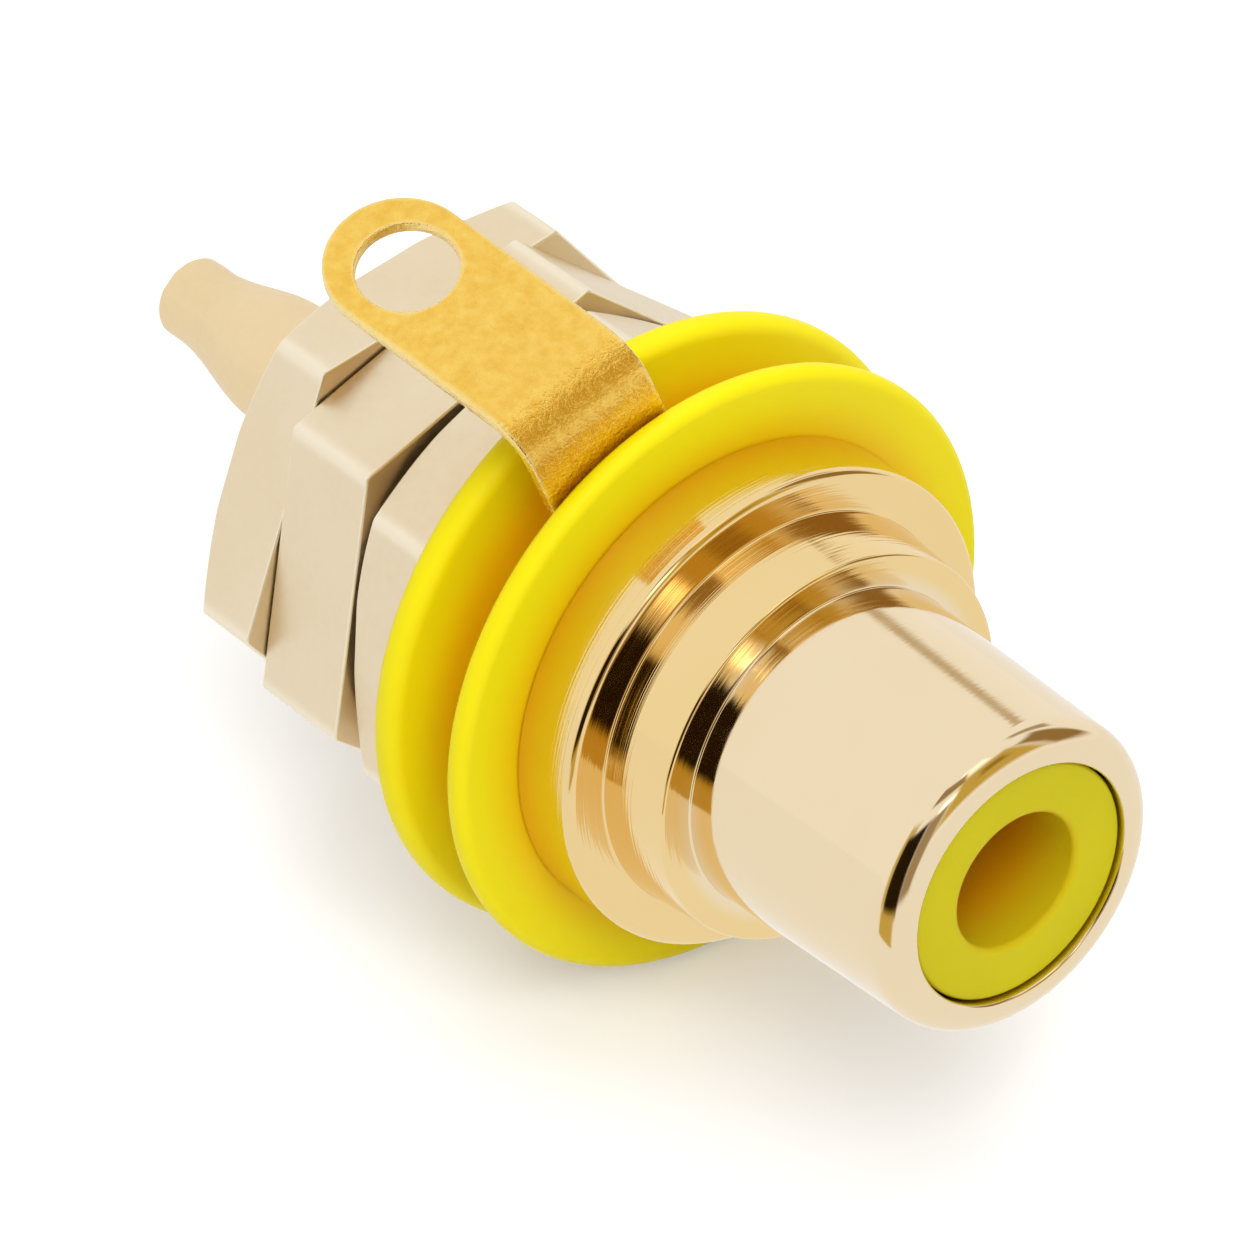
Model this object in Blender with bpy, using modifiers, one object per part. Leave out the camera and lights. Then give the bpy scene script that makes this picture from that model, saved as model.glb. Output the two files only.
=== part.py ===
"""Phono panel socket: a gold-plated turned shell clamped to a panel by insulating washers and hex nuts.

The socket's own frame: the origin is on the shell's axis in the panel seat, the rear face of
the front washer. The plug enters from -Y, the solder tail points to +Y, and +Z is up.
All turned pieces share one local frame, whose Z axis is the shell's axis and points to the
plug side, so a "station" below is the distance in front of the panel seat.
"""
import math

import bmesh
import bpy
from mathutils import Matrix, Vector

MM = 0.001                       # sizes are written in millimetres and used in metres

# clearances
SEAT_GAP = 0.05 * MM             # between faces that are clamped together
SLIDE_GAP = 0.10 * MM            # radial, of a washer, tag or nut round the shank
PRESS_GAP = 0.04 * MM            # radial, of an insulator in its bore

# shell, turned from brass bar
MOUTH_LENGTH = 6.75 * MM         # barrel that the plug's skirt grips
BARREL_R_ROOT = 4.15 * MM
BARREL_R_LIP = 3.95 * MM         # the barrel tapers a little toward the plug
LIP_ROUND = 0.75 * MM
LIP_BORE_R = 3.07 * MM
COLLAR_LENGTH = 1.91 * MM        # step between barrel and flange
COLLAR_R_FRONT = 4.97 * MM
COLLAR_R_REAR = 5.14 * MM
COLLAR_EDGE = 0.11 * MM
SHANK_R = 3.95 * MM              # threaded stem through the panel
NUT_WALL = 2.05 * MM             # of the hex nuts, from bore to flats
NUT_FLAT_R = SHANK_R + SLIDE_GAP + NUT_WALL
FLANGE_STEP = 0.06 * MM          # the flange is this much wider than the nuts that it pulls against
FLANGE_THICKNESS = 1.85 * MM
FLANGE_R = NUT_FLAT_R + FLANGE_STEP
FLANGE_EDGE = 0.22 * MM
SHANK_TIP = 1.75 * MM            # stem left showing behind the last nut
SHANK_CHAMFER = 0.4 * MM
SHELL_WALL_BORE_R = 2.5 * MM     # clearance bore between the two insulators
SHELL_SHOULDER = 1.2 * MM        # station where the mouth insulator seats
BUSH_BORE_R = 3.0 * MM           # counterbore for the rear bush

# insulators
INSULATOR_RECESS = 0.19 * MM     # its face lies this far inside the lip
INSULATOR_BORE_R = 1.72 * MM     # guides the plug's pin
INSULATOR_ENTRY = 0.15 * MM
INSULATOR_CHEEK = 3.2 * MM       # front wall ahead of the contact
BUSH_PROUD = 0.4 * MM            # rear bush past the end of the shank

# centre contact, turned and slotted
CONTACT_R = 2.25 * MM
CONTACT_BORE_R = 1.62 * MM
CONTACT_BORE_DEPTH = 11.4 * MM   # room for a plug's pin, 14 to 15 mm from the lip
CONTACT_FLOOR = 1.0 * MM
SLOT_WIDTH = 0.45 * MM
SLOT_LENGTH = 6.0 * MM
SLOT_COUNT = 4
CONTACT_GAP = 0.25 * MM          # between the fingers and the insulator's cheek
CONTACT_EDGE = 0.1 * MM
STEM_R = 1.62 * MM
TAIL_R = 1.07 * MM
TAIL_TAPER_START = 3.4 * MM      # behind the shank's end
TAIL_TAPER_LENGTH = 3.35 * MM
TAIL_TIP_LENGTH = 0.7 * MM
TAIL_EDGE = 0.18 * MM

# washers, tag and nuts
PANEL_SPACE = 1.79 * MM          # between the washers, for the tag and the panel
PANEL_HOLE_R = 5.0 * MM          # hole that the rear washer's shoulder centres in
REAR_WASHER_T = 0.82 * MM
REAR_WASHER_R = 7.90 * MM
REAR_WASHER_EDGE = 0.36 * MM
FRONT_WASHER_T = 0.64 * MM
FRONT_WASHER_STEP = 0.10 * MM    # its rim lies this far inside the rear washer's
FRONT_WASHER_R = REAR_WASHER_R - FRONT_WASHER_STEP
FRONT_WASHER_EDGE = 0.31 * MM

TAG_SHEET = 0.35 * MM
TAG_RING_STEP = 0.16 * MM        # the tag's ring ends this far inside the flange that presses on it
TAG_RING_R = FLANGE_R - TAG_RING_STEP
TAG_HALF_WIDTH = 1.78 * MM
TAG_AZIMUTH = math.radians(112.6)    # direction of the foot, from +X toward +Z
TAG_FOLD_R = 9.6 * MM            # from the axis to the corner of the fold, before rounding
TAG_FOLD_ROUND = 1.3 * MM        # outside of the fold
TAG_FOLD_ANGLE = math.radians(75.0)
TAG_FOLD_SKEW = math.radians(5.0)
TAG_HOLE_R = 1.21 * MM
TAG_HOLE_DISTANCE = 5.45 * MM    # from the fold's corner
TAG_END_OFFSET = 0.25 * MM       # the rounded end's centre lies past the hole's

NUT_THICKNESS = 2.85 * MM
REAR_NUT_THICKNESS = 2.25 * MM
NUT_LOOSE_GAP = 0.20 * MM        # the two rear nuts are run on together, short of the front one
NUT_CHAMFER_STEP = 0.05 * MM     # the chamfer starts on a circle this far outside the flats
NUT_CHAMFER_R = NUT_FLAT_R + NUT_CHAMFER_STEP
NUT_CHAMFER_ANGLE = math.radians(30.0)
NUT_EDGE = 0.08 * MM
NUT_COUNTERSINK = 0.35 * MM
NUT_CORNERS = (math.radians(86.5), math.radians(81.0), math.radians(69.5))   # from +X to +Z

# resolution
TURN_STEPS = 64
SMALL_STEPS = 40
ROUND_STEPS = 3
SHARP_ANGLE = math.radians(28.0)

# stations along the axis
FLANGE_REAR = FRONT_WASHER_T + SEAT_GAP
FLANGE_FRONT = FLANGE_REAR + FLANGE_THICKNESS
COLLAR_FRONT = FLANGE_FRONT + COLLAR_LENGTH
LIP = COLLAR_FRONT + MOUTH_LENGTH
TAG_FRONT = -SEAT_GAP
TAG_REAR = TAG_FRONT - TAG_SHEET
REAR_WASHER_FRONT = -PANEL_SPACE
REAR_WASHER_REAR = REAR_WASHER_FRONT - REAR_WASHER_T
NUT_SIZES = (NUT_THICKNESS, NUT_THICKNESS, REAR_NUT_THICKNESS)
NUT_GAPS = (SEAT_GAP, NUT_LOOSE_GAP, SEAT_GAP)       # ahead of each nut


def nut_front(index):
    """Station of a nut's front face, counted from the rear washer."""
    return REAR_WASHER_REAR - sum(NUT_SIZES[:index]) - sum(NUT_GAPS[:index + 1])


LAST_NUT_REAR = nut_front(len(NUT_SIZES) - 1) - REAR_NUT_THICKNESS
SHANK_END = LAST_NUT_REAR - SHANK_TIP
INSULATOR_FACE = LIP - INSULATOR_RECESS
CONTACT_FRONT = INSULATOR_FACE - INSULATOR_CHEEK - CONTACT_GAP
CONTACT_COLLAR_REAR = CONTACT_FRONT - CONTACT_BORE_DEPTH - CONTACT_FLOOR
BUSH_FRONT = CONTACT_COLLAR_REAR     # the bush holds the contact's collar from behind
TAIL_END = SHANK_END - TAIL_TAPER_START - TAIL_TAPER_LENGTH - TAIL_TIP_LENGTH


# scene helpers
def clear_scene():
    for obj in list(bpy.data.objects):
        bpy.data.objects.remove(obj, do_unlink=True)


def make_collection(name):
    collection = bpy.data.collections.new(name)
    bpy.context.scene.collection.children.link(collection)
    return collection


def make_material(name, colour, roughness, metallic):
    material = bpy.data.materials.new(name)
    material.use_nodes = True
    shader = material.node_tree.nodes["Principled BSDF"]
    shader.inputs["Base Color"].default_value = (*colour, 1.0)
    shader.inputs["Roughness"].default_value = roughness
    shader.inputs["Metallic"].default_value = metallic
    return material


def add_piece(name, mesh, collection, axis, material=None):
    """One sub-part, placed in the turned frame by its parent empty."""
    piece = bpy.data.objects.new(name, mesh)
    collection.objects.link(piece)
    piece.parent = axis
    if material is not None:
        piece.data.materials.append(material)
    return piece


def make_cutter(name, mesh, collection, axis):
    cutter = add_piece(name, mesh, collection, axis)
    cutter.hide_render = True
    cutter.display_type = "WIRE"
    return cutter


def cut(piece, cutter, operation):
    step = piece.modifiers.new(cutter.name, "BOOLEAN")
    step.operation = operation
    step.solver = "EXACT"
    step.object = cutter


# turned shapes
def corner(r, z, r_in, z_in, r_out, z_out, size):
    """Points of a rounded corner at (r, z) on the way from (r_in, z_in) to (r_out, z_out)."""
    here = Vector((r, z))
    start = here + (Vector((r_in, z_in)) - here).normalized() * size
    end = here + (Vector((r_out, z_out)) - here).normalized() * size
    points = []
    for step in range(ROUND_STEPS + 1):
        t = step / ROUND_STEPS
        weight = (1 - t) ** 2, 1.2 * t * (1 - t), t ** 2
        point = (weight[0] * start + weight[1] * here + weight[2] * end) / sum(weight)
        points.append((point.x, point.y))
    return points


def rounded(outline):
    """Profile points of a closed outline of (radius, station, corner size)."""
    points = []
    count = len(outline)
    for index, (r, z, size) in enumerate(outline):
        before = outline[index - 1]
        after = outline[(index + 1) % count]
        if size > 0.0:
            points += corner(r, z, before[0], before[1], after[0], after[1], size)
        else:
            points.append((r, z))
    return points


def profile_mesh(name, outline, closed=True):
    """The profile to be turned, in order down its outer side and up its bore."""
    points = rounded(outline)
    mesh = bpy.data.meshes.new(name)
    count = len(points) if closed else len(points) - 1
    edges = [(i, (i + 1) % len(points)) for i in range(count)]
    mesh.from_pydata([(r, 0.0, z) for r, z in points], edges, [])
    return mesh


def turn(piece, steps):
    """Screw the piece's profile once round its Z axis."""
    screw = piece.modifiers.new("Turn", "SCREW")
    screw.axis = "Z"
    screw.steps = steps
    screw.render_steps = steps
    screw.use_merge_vertices = True
    screw.merge_threshold = 0.000001
    screw.use_smooth_shade = True


def turned_piece(name, outline, collection, axis, material, steps=TURN_STEPS):
    piece = add_piece(name, profile_mesh(name, outline), collection, axis, material)
    turn(piece, steps)
    return piece


# sub-parts
def build_shell(parts, axis, gold):
    outline = [
        (BARREL_R_LIP, LIP, LIP_ROUND),
        (BARREL_R_ROOT, COLLAR_FRONT, 0.0),
        (COLLAR_R_FRONT, COLLAR_FRONT, COLLAR_EDGE),
        (COLLAR_R_REAR, FLANGE_FRONT, 0.0),
        (FLANGE_R, FLANGE_FRONT, FLANGE_EDGE),
        (FLANGE_R, FLANGE_REAR, 0.0),
        (SHANK_R, FLANGE_REAR, 0.0),
        (SHANK_R, SHANK_END + SHANK_CHAMFER, 0.0),
        (SHANK_R - SHANK_CHAMFER, SHANK_END, 0.0),
        (BUSH_BORE_R, SHANK_END, 0.0),
        (BUSH_BORE_R, BUSH_FRONT, 0.0),
        (SHELL_WALL_BORE_R, BUSH_FRONT, 0.0),
        (SHELL_WALL_BORE_R, SHELL_SHOULDER, 0.0),
        (LIP_BORE_R, SHELL_SHOULDER, 0.0),
        (LIP_BORE_R, LIP, 0.0),
    ]
    return turned_piece("barrel_shell", outline, parts, axis, gold)


def build_mouth_insulator(parts, axis, plastic):
    outer = LIP_BORE_R - PRESS_GAP
    pocket = CONTACT_R + PRESS_GAP
    step = INSULATOR_FACE - INSULATOR_CHEEK
    outline = [
        (outer, INSULATOR_FACE, INSULATOR_ENTRY / 2),
        (outer, SHELL_SHOULDER + SEAT_GAP, 0.0),
        (pocket, SHELL_SHOULDER + SEAT_GAP, 0.0),
        (pocket, step, 0.0),
        (INSULATOR_BORE_R, step, 0.0),
        (INSULATOR_BORE_R, INSULATOR_FACE, INSULATOR_ENTRY),
    ]
    return turned_piece("mouth_insulator", outline, parts, axis, plastic, SMALL_STEPS)


def build_rear_bush(parts, axis, plastic):
    outer = BUSH_BORE_R - PRESS_GAP
    outline = [
        (outer, BUSH_FRONT - SEAT_GAP, 0.0),
        (outer, SHANK_END - BUSH_PROUD, INSULATOR_ENTRY),
        (STEM_R + PRESS_GAP, SHANK_END - BUSH_PROUD, 0.0),
        (STEM_R + PRESS_GAP, BUSH_FRONT - SEAT_GAP, 0.0),
    ]
    return turned_piece("rear_bush", outline, parts, axis, plastic, SMALL_STEPS)


def tail_outline():
    """Tail behind the shank: a thick stem that runs by a cosine curve into a thinner tip."""
    start = SHANK_END - TAIL_TAPER_START
    points = []
    for step in range(9):
        t = step / 8
        blend = (1.0 - math.cos(math.pi * t)) / 2
        points.append((STEM_R + (TAIL_R - STEM_R) * blend, start - t * TAIL_TAPER_LENGTH, 0.0))
    return points + [(TAIL_R, TAIL_END, TAIL_EDGE)]


def build_centre_contact(parts, cutters, axis, gold):
    """Slotted socket in front, collar behind it, and one long stem that ends in the tail."""
    floor = CONTACT_FRONT - CONTACT_BORE_DEPTH
    outline = [
        (0.0, floor, 0.0),
        (CONTACT_BORE_R, floor, 0.0),
        (CONTACT_BORE_R, CONTACT_FRONT, CONTACT_EDGE),
        (CONTACT_R, CONTACT_FRONT, CONTACT_EDGE),
        (CONTACT_R, CONTACT_COLLAR_REAR, 0.0),
        (STEM_R, CONTACT_COLLAR_REAR, 0.0),
        *tail_outline(),
        (0.0, TAIL_END, 0.0),
    ]
    mesh = profile_mesh("centre_contact", outline, closed=False)
    piece = add_piece("centre_contact", mesh, parts, axis, gold)
    turn(piece, SMALL_STEPS)
    piece.modifiers["Turn"].use_normal_calculate = True
    for index in range(SLOT_COUNT // 2):
        slot = bmesh.new()
        size = Vector((4 * CONTACT_R, SLOT_WIDTH, 2 * SLOT_LENGTH))
        bmesh.ops.create_cube(slot, size=1.0, matrix=Matrix.Diagonal((*size, 1.0)))
        cutter_mesh = bpy.data.meshes.new(f"finger_slot_{index + 1}")
        slot.to_mesh(cutter_mesh)
        slot.free()
        cutter = make_cutter(f"finger_slot_{index + 1}", cutter_mesh, cutters, axis)
        cutter.location = (0.0, 0.0, CONTACT_FRONT)
        cutter.rotation_euler = (0.0, 0.0, 2 * math.pi * index / SLOT_COUNT + math.pi / SLOT_COUNT)
        cut(piece, cutter, "DIFFERENCE")
    return piece


def build_front_washer(parts, axis, plastic):
    edge = FRONT_WASHER_EDGE
    outline = [
        (FRONT_WASHER_R, FRONT_WASHER_T, edge),
        (FRONT_WASHER_R, 0.0, edge),
        (SHANK_R + SLIDE_GAP, 0.0, 0.0),
        (SHANK_R + SLIDE_GAP, FRONT_WASHER_T, 0.0),
    ]
    return turned_piece("front_washer", outline, parts, axis, plastic)


def build_rear_washer(parts, axis, plastic):
    """Disc with a shoulder that centres it in the panel's hole."""
    edge = REAR_WASHER_EDGE
    shoulder_front = TAG_REAR - SEAT_GAP
    outline = [
        (PANEL_HOLE_R, shoulder_front, 0.1 * MM),
        (PANEL_HOLE_R, REAR_WASHER_FRONT, 0.0),
        (REAR_WASHER_R, REAR_WASHER_FRONT, edge),
        (REAR_WASHER_R, REAR_WASHER_REAR, edge),
        (SHANK_R + SLIDE_GAP, REAR_WASHER_REAR, 0.0),
        (SHANK_R + SLIDE_GAP, shoulder_front, 0.0),
    ]
    return turned_piece("rear_washer", outline, parts, axis, plastic)


def arc(cx, cy, radius, start, end, steps):
    """Points of a circular arc."""
    return [(cx + radius * math.cos(start + (end - start) * i / steps),
             cy + radius * math.sin(start + (end - start) * i / steps)) for i in range(steps + 1)]


def tag_blank():
    """Flat tag as stamped: a ring round the shank with a round-ended strip along +X."""
    meet = math.asin(TAG_HALF_WIDTH / TAG_RING_R)
    end_x = TAG_FOLD_R + TAG_HOLE_DISTANCE + tag_fold_growth() + TAG_END_OFFSET
    outer = arc(0.0, 0.0, TAG_RING_R, meet, 2 * math.pi - meet, 48)
    outer += arc(end_x, 0.0, TAG_HALF_WIDTH, -math.pi / 2, math.pi / 2, 20)
    bore = arc(0.0, 0.0, SHANK_R + SLIDE_GAP, 0.0, 2 * math.pi, 48)[:-1]
    hole = arc(end_x - TAG_END_OFFSET, 0.0, TAG_HOLE_R, 0.0, 2 * math.pi, 32)[:-1]
    return outer, bore, hole


def tag_fold_growth():
    """Flat length of the fold less the two straight runs to its outside corner."""
    middle = TAG_FOLD_ROUND - TAG_SHEET / 2
    return middle * TAG_FOLD_ANGLE - 2 * TAG_FOLD_ROUND * math.tan(TAG_FOLD_ANGLE / 2)


def fold_tag(point):
    """Place of a flat point after folding: flat foot, round fold, then the straight blade."""
    across = Vector((math.cos(TAG_FOLD_SKEW), -math.sin(TAG_FOLD_SKEW)))
    along = Vector((math.sin(TAG_FOLD_SKEW), math.cos(TAG_FOLD_SKEW)))
    start = (TAG_FOLD_R * math.cos(TAG_FOLD_SKEW)
             - TAG_FOLD_ROUND * math.tan(TAG_FOLD_ANGLE / 2))
    middle = TAG_FOLD_ROUND - TAG_SHEET / 2
    u = point.x * across.x + point.y * across.y
    v = point.x * along.x + point.y * along.y
    angle = min(max((u - start) / middle, 0.0), TAG_FOLD_ANGLE)
    run = max(u - start - middle * TAG_FOLD_ANGLE, 0.0)
    if angle > 0.0:
        u = start + middle * math.sin(angle) + run * math.cos(TAG_FOLD_ANGLE)
    drop = middle * (1.0 - math.cos(angle)) + run * math.sin(TAG_FOLD_ANGLE)
    flat = across * u + along * v
    return Vector((flat.x, flat.y, -drop))


def build_solder_tag(parts, axis, gold):
    curve = bpy.data.curves.new("solder_tag", "CURVE")
    curve.dimensions = "2D"
    curve.fill_mode = "BOTH"
    for loop in tag_blank():
        spline = curve.splines.new("POLY")
        spline.points.add(len(loop) - 1)
        for node, (x, y) in zip(spline.points, loop):
            node.co = (x, y, 0.0, 1.0)
        spline.use_cyclic_u = True
    outline = bpy.data.objects.new("solder_tag_outline", curve)
    parts.objects.link(outline)
    bpy.context.view_layer.update()
    evaluated = outline.evaluated_get(bpy.context.evaluated_depsgraph_get())
    mesh = bpy.data.meshes.new_from_object(evaluated)
    bpy.data.objects.remove(outline, do_unlink=True)
    mesh.name = "solder_tag"

    sheet = bmesh.new()
    sheet.from_mesh(mesh)
    bmesh.ops.remove_doubles(sheet, verts=sheet.verts, dist=0.000001)
    across = Vector((math.cos(TAG_FOLD_SKEW), -math.sin(TAG_FOLD_SKEW), 0.0))
    start = TAG_FOLD_R * math.cos(TAG_FOLD_SKEW) - TAG_FOLD_ROUND * math.tan(TAG_FOLD_ANGLE / 2)
    length = (TAG_FOLD_ROUND - TAG_SHEET / 2) * TAG_FOLD_ANGLE
    folds = 8
    for step in range(folds + 1):
        bmesh.ops.bisect_plane(
            sheet, geom=sheet.verts[:] + sheet.edges[:] + sheet.faces[:], dist=0.0000001,
            plane_co=across * (start + length * step / folds), plane_no=across)
    for vert in sheet.verts:
        vert.co = fold_tag(vert.co)
    bmesh.ops.recalc_face_normals(sheet, faces=sheet.faces[:])
    if sum(face.normal.z * face.calc_area() for face in sheet.faces) < 0.0:
        bmesh.ops.reverse_faces(sheet, faces=sheet.faces[:])
    sheet.to_mesh(mesh)
    sheet.free()
    piece = add_piece("solder_tag", mesh, parts, axis, gold)
    piece.location = (0.0, 0.0, TAG_FRONT - TAG_SHEET / 2)
    piece.rotation_euler = (0.0, 0.0, TAG_AZIMUTH)
    thicken = piece.modifiers.new("Sheet", "SOLIDIFY")
    thicken.thickness = TAG_SHEET
    thicken.offset = 0.0
    return piece


def build_nut(name, index, parts, cutters, axis, gold, chamfered):
    """Hex nut: a turned blank with its bore and chamfer, cut to a hexagon."""
    thickness = NUT_SIZES[index]
    corner_r = NUT_FLAT_R / math.cos(math.pi / 6)
    blank_r = corner_r * 1.1
    face_r = NUT_CHAMFER_R if chamfered else corner_r - NUT_EDGE
    fall = (blank_r - face_r) * math.tan(NUT_CHAMFER_ANGLE)
    bore = SHANK_R + SLIDE_GAP
    sink = NUT_COUNTERSINK
    outline = [
        (blank_r, 0.0, 0.0),
        (blank_r, fall - thickness, 0.0),
        (face_r, -thickness, 0.0),
        (bore + sink, -thickness, 0.0),
        (bore, sink - thickness, 0.0),
        (bore, -sink, 0.0),
        (bore + sink, 0.0, 0.0),
    ]
    piece = turned_piece(name, outline, parts, axis, gold)
    hexagon = bmesh.new()
    bmesh.ops.create_cone(hexagon, cap_ends=True, segments=6, radius1=corner_r,
                          radius2=corner_r, depth=4 * thickness)
    mesh = bpy.data.meshes.new(f"{name}_hexagon")
    hexagon.to_mesh(mesh)
    hexagon.free()
    cutter = make_cutter(f"{name}_hexagon", mesh, cutters, axis)
    for obj in (piece, cutter):
        obj.location = (0.0, 0.0, nut_front(index))
        obj.rotation_euler = (0.0, 0.0, NUT_CORNERS[index] - math.pi / 2)
    cut(piece, cutter, "INTERSECT")
    return piece


def shade(piece):
    """Smooth shading that keeps the machined edges crisp."""
    piece.data.shade_smooth()
    piece.data.set_sharp_from_angle(angle=SHARP_ANGLE)


def main():
    clear_scene()
    parts = make_collection("phono_panel_socket")
    cutters = make_collection("cutters")
    axis = bpy.data.objects.new("socket_axis", None)
    axis.rotation_euler = (math.pi / 2, 0.0, 0.0)
    parts.objects.link(axis)

    gold = make_material("gold_plate", (0.83, 0.61, 0.30), 0.12, 1.0)
    tag_gold = make_material("satin_gold_sheet", (0.80, 0.50, 0.16), 0.33, 1.0)
    yellow = make_material("yellow_nylon", (0.83, 0.70, 0.01), 0.38, 0.0)
    amber = make_material("yellow_mouth_plastic", (0.70, 0.56, 0.02), 0.42, 0.0)

    pieces = [
        build_shell(parts, axis, gold),
        build_mouth_insulator(parts, axis, amber),
        build_rear_bush(parts, axis, amber),
        build_centre_contact(parts, cutters, axis, gold),
        build_front_washer(parts, axis, yellow),
        build_solder_tag(parts, axis, tag_gold),
        build_rear_washer(parts, axis, yellow),
        build_nut("front_nut", 0, parts, cutters, axis, gold, True),
        build_nut("middle_nut", 1, parts, cutters, axis, gold, False),
        build_nut("rear_nut", 2, parts, cutters, axis, gold, True),
    ]
    for piece in pieces:
        shade(piece)
    bpy.context.view_layer.update()


main()
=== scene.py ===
# %% [markdown]
# # A gold-plated phono panel socket
# This lesson dresses a imported CAD model of a small panel socket for a product picture. The CAD
# model is the fixed frame: it says where every piece is. Each cell makes one finer surface
# around it, or one finish. We start by loading the frame, whose parts a helper measures.

# %% Load the frame
import math

import bpy
import numpy as np
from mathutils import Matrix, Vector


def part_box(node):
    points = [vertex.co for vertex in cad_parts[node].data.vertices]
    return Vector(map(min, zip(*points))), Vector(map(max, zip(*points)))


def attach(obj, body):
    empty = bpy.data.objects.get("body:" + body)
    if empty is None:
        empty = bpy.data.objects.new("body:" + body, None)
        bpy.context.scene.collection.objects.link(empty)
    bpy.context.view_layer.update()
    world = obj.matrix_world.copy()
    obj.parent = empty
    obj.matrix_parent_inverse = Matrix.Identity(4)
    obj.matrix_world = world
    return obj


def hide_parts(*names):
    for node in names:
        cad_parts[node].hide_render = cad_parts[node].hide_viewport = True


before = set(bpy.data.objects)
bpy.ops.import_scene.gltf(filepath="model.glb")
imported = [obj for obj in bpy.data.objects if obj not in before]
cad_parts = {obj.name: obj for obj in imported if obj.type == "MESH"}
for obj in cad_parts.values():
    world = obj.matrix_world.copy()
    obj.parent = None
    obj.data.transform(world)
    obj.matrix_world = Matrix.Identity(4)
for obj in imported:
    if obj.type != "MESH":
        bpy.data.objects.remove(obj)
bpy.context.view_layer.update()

# %% [markdown]
# ## The socket's own measure
# The socket is turned on a lathe, so one axis and a list of stations describe it. The axis is
# world Y, and a station is the distance in millimetres in front of the panel, toward the plug
# (-Y). Stations and radii that two pieces share are written once here, and pieces that exist
# in the frame are measured from it.

# %% Stations and shared sizes
MM = 0.001
TURN_STEPS = 192  # columns round a turned surface
FULL_TURN = 2 * math.pi


def station_span(node):
    """Front and rear station of a CAD node: minus its lowest and highest Y, in millimetres."""
    low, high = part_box(node)
    return -low.y / MM, -high.y / MM


def node_radius(node):
    """Largest X of a CAD node that is turned about the Y axis, in millimetres."""
    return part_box(node)[1].x / MM


SEAT_GAP = 0.05  # mm between pieces that are clamped or pressed together
FLANGE_LENGTH, COLLAR_LENGTH = 1.85, 1.91
LIP, SHANK_END = station_span("barrel_shell")
WASHER_FRONT, WASHER_REAR = station_span("front_washer")
FLANGE_REAR = WASHER_FRONT + SEAT_GAP
FLANGE_FRONT = FLANGE_REAR + FLANGE_LENGTH
COLLAR_FRONT = FLANGE_FRONT + COLLAR_LENGTH
FACE, INSULATOR_REAR = station_span("mouth_insulator")
CONTACT_FRONT, TAIL_END = station_span("centre_contact")
BUSH_FRONT, BUSH_REAR = station_span("rear_bush")
SHANK_R = 3.95
BORE_R = 4.05  # of washers, tag and nuts, round the shank
print("lip", round(LIP, 2), "shank end", round(SHANK_END, 2), "tail end", round(TAIL_END, 2))

# %% [markdown]
# ## From arrays to meshes
# A surface here is a grid of points: rows run along a profile and columns run round it. One
# helper turns the grid's counting into faces, and a second writes points and faces into a
# mesh in two calls, which is far quicker than adding vertices one by one. A closed surface
# must face outward. The signed volume tells: if it is negative, every face is reversed.

# %% Grid and mesh helpers


def grid_faces(rows, columns, close_rows, close_columns=True):
    """Quads of a grid whose point (i, j) has number i * columns + j; closing wraps the last
    row or column to the first."""
    i = np.arange(rows if close_rows else rows - 1)
    j = np.arange(columns if close_columns else columns - 1)
    i, j = (part.ravel() for part in np.meshgrid(i, j, indexing="ij"))
    down, right = (i + 1) % rows, (j + 1) % columns
    return np.stack([i * columns + j, i * columns + right,
                     down * columns + right, down * columns + j], 1)


def signed_volume(points, faces):
    """Sum over fans of triangles of a . (b x c) / 6, positive if the faces point outward."""
    a = points[faces[:, 0]]
    total = 0.0
    for k in range(1, faces.shape[1] - 1):
        b, c = points[faces[:, k]], points[faces[:, k + 1]]
        total += (a * np.cross(b, c)).sum() / 6
    return total


def mesh_of(name, points, *face_sets, closed=True):
    """Mesh from an (n, 3) array of millimetres and arrays of corner numbers."""
    if closed and sum(signed_volume(points, faces) for faces in face_sets) < 0:
        face_sets = [faces[:, ::-1] for faces in face_sets]
    corners = np.concatenate([faces.ravel() for faces in face_sets])
    sizes = np.concatenate([np.full(len(faces), faces.shape[1]) for faces in face_sets])
    starts = np.concatenate([[0], np.cumsum(sizes)[:-1]])
    mesh = bpy.data.meshes.new(name)
    mesh.vertices.add(len(points))
    mesh.vertices.foreach_set("co", (points * MM).astype(np.float32).ravel())
    mesh.loops.add(len(corners))
    mesh.loops.foreach_set("vertex_index", corners.astype(np.int32))
    mesh.polygons.add(len(starts))
    mesh.polygons.foreach_set("loop_start", starts.astype(np.int32))
    mesh.update(calc_edges=True)
    mesh.validate()
    return mesh


def mark_points(mesh, name, values):
    """One number for each point, which a finish reads as the attribute of that name."""
    numbers = np.asarray(values, np.float32).ravel()
    mesh.attributes.new(name, "FLOAT", "POINT").data.foreach_set("value", numbers)


def linked(name, data):
    """New object in the scene."""
    thing = bpy.data.objects.new(name, data)
    bpy.context.scene.collection.objects.link(thing)
    return thing


def put(name, mesh, material, body, node, sharp=35.0):
    """The finished piece: smooth but for edges sharper than the angle, riding on its body in
    place of its CAD node."""
    piece = linked(name, mesh)
    mesh.materials.append(material)
    mesh.shade_smooth()
    mesh.set_sharp_from_angle(angle=math.radians(sharp))
    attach(piece, body)
    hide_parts(node)
    print(f"{name}: {len(mesh.polygons)} faces, rides on {body}, stands for {node}")
    return piece


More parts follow.
